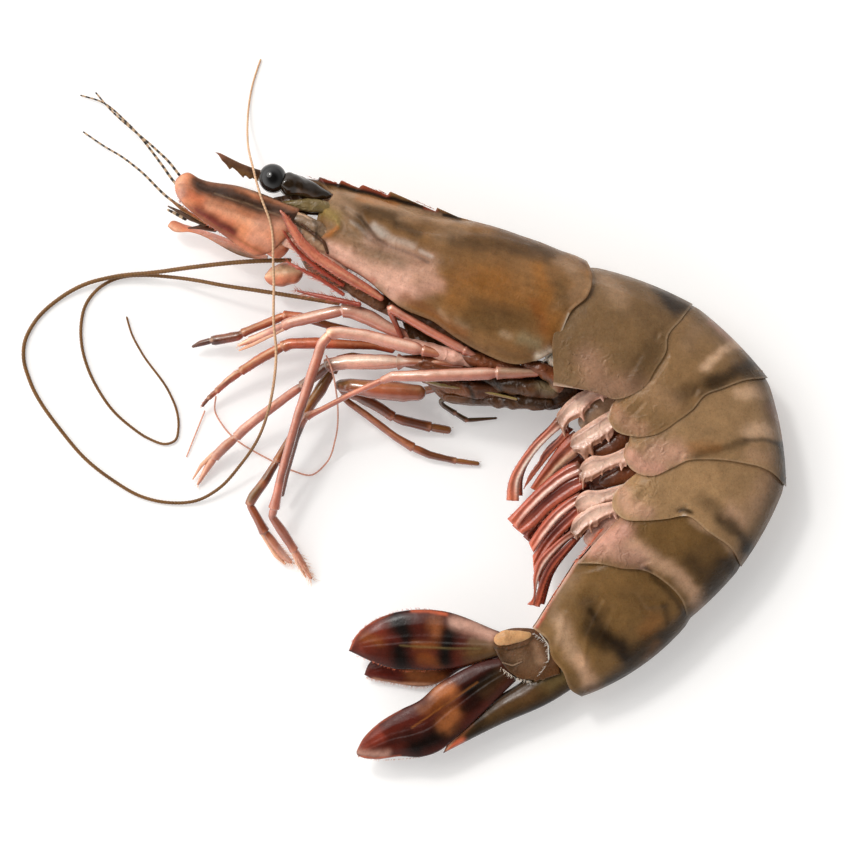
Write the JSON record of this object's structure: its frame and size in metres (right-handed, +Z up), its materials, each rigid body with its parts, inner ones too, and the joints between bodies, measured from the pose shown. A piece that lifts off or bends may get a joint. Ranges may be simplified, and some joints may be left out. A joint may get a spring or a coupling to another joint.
{
  "type": "raw whole shrimp",
  "caption": "Raw whole head-on shrimp with banded shell, legs, long feelers and tail fan, lying curled on its right side.",
  "frame": {"origin": "on the floor, under the centre of the bounding box", "axes": "+X from the head towards the curled back, +Y from the tail fan towards the beak, +Z up through the left side of the animal"},
  "size_m": [0.138, 0.1266, 0.0209],
  "materials": {
    "shield_shell": "wet olive-brown head shell with orange-brown and lilac-grey clouds",
    "ring_shell": "wet olive shell with darker and paler cross bands",
    "belly_skin": "wet brown skin under the shell",
    "limb_shell": "wet salmon pink limb shell, brown towards the tips",
    "mouth_red": "wet red mouth limbs with fine hairs",
    "scale_orange": "wet orange blade with a dark stripe and maroon edge",
    "eye_black": "glossy black eyeball on a dark stalk",
    "feeler_brown": "brown feeler, peach towards its end",
    "tail_red": "wet dark red, black and orange tail blade",
    "swimmer_red": "wet red swimming leg, pale at its stalk",
    "stalk_olive": "wet olive stalk"
  },
  "bodies": {
    "root": {"head_shield": "shield_shell", "tail_ring_1": "ring_shell", "tail_ring_2": "ring_shell", "tail_ring_3": "ring_shell", "tail_ring_4": "ring_shell", "tail_ring_5": "ring_shell", "tail_ring_6": "ring_shell", "face": "belly_skin", "breast": "belly_skin", "walking_leg_01": "limb_shell", "walking_leg_02": "limb_shell", "walking_leg_03": "limb_shell", "walking_leg_04": "limb_shell", "walking_leg_05": "limb_shell", "walking_leg_06": "limb_shell", "walking_leg_07": "limb_shell", "walking_leg_08": "limb_shell", "walking_leg_09": "limb_shell", "walking_leg_10": "limb_shell", "jaw_leg_L": "mouth_red", "jaw_leg_R": "mouth_red", "mouth_palp": "mouth_red", "mouth_lash": "mouth_red", "mouth_brush_1": "mouth_red", "mouth_brush_2": "mouth_red", "antennal_scale_L": "scale_orange", "antennal_scale_R": "scale_orange", "feeler_root_L": "scale_orange", "feeler_root_R": "scale_orange", "eye_L": "eye_black", "eye_R": "eye_black", "feeler_long_L": "feeler_brown", "feeler_long_R": "feeler_brown", "feeler_short_1": "feeler_brown", "feeler_short_2": "feeler_brown", "feeler_short_3": "feeler_brown", "feeler_short_4": "feeler_brown", "leg_thread_1": "feeler_brown", "leg_thread_2": "feeler_brown", "tail_blade_outer_L": "tail_red", "tail_blade_outer_R": "tail_red", "tail_blade_inner_L": "tail_red", "tail_blade_inner_R": "tail_red", "tail_spike": "tail_red", "swimming_leg_1_L": "swimmer_red", "swimming_leg_1_R": "swimmer_red", "swimming_leg_2_L": "swimmer_red", "swimming_leg_2_R": "swimmer_red", "swimming_leg_3_L": "swimmer_red", "swimming_leg_3_R": "swimmer_red", "swimming_leg_4_L": "swimmer_red", "swimming_leg_4_R": "swimmer_red", "swimming_leg_5_L": "swimmer_red", "swimming_leg_5_R": "swimmer_red", "feeler_stalk_L": "stalk_olive", "feeler_stalk_R": "stalk_olive", "tail_joint_L": "stalk_olive", "tail_joint_R": "stalk_olive"}
  },
  "joints": []
}
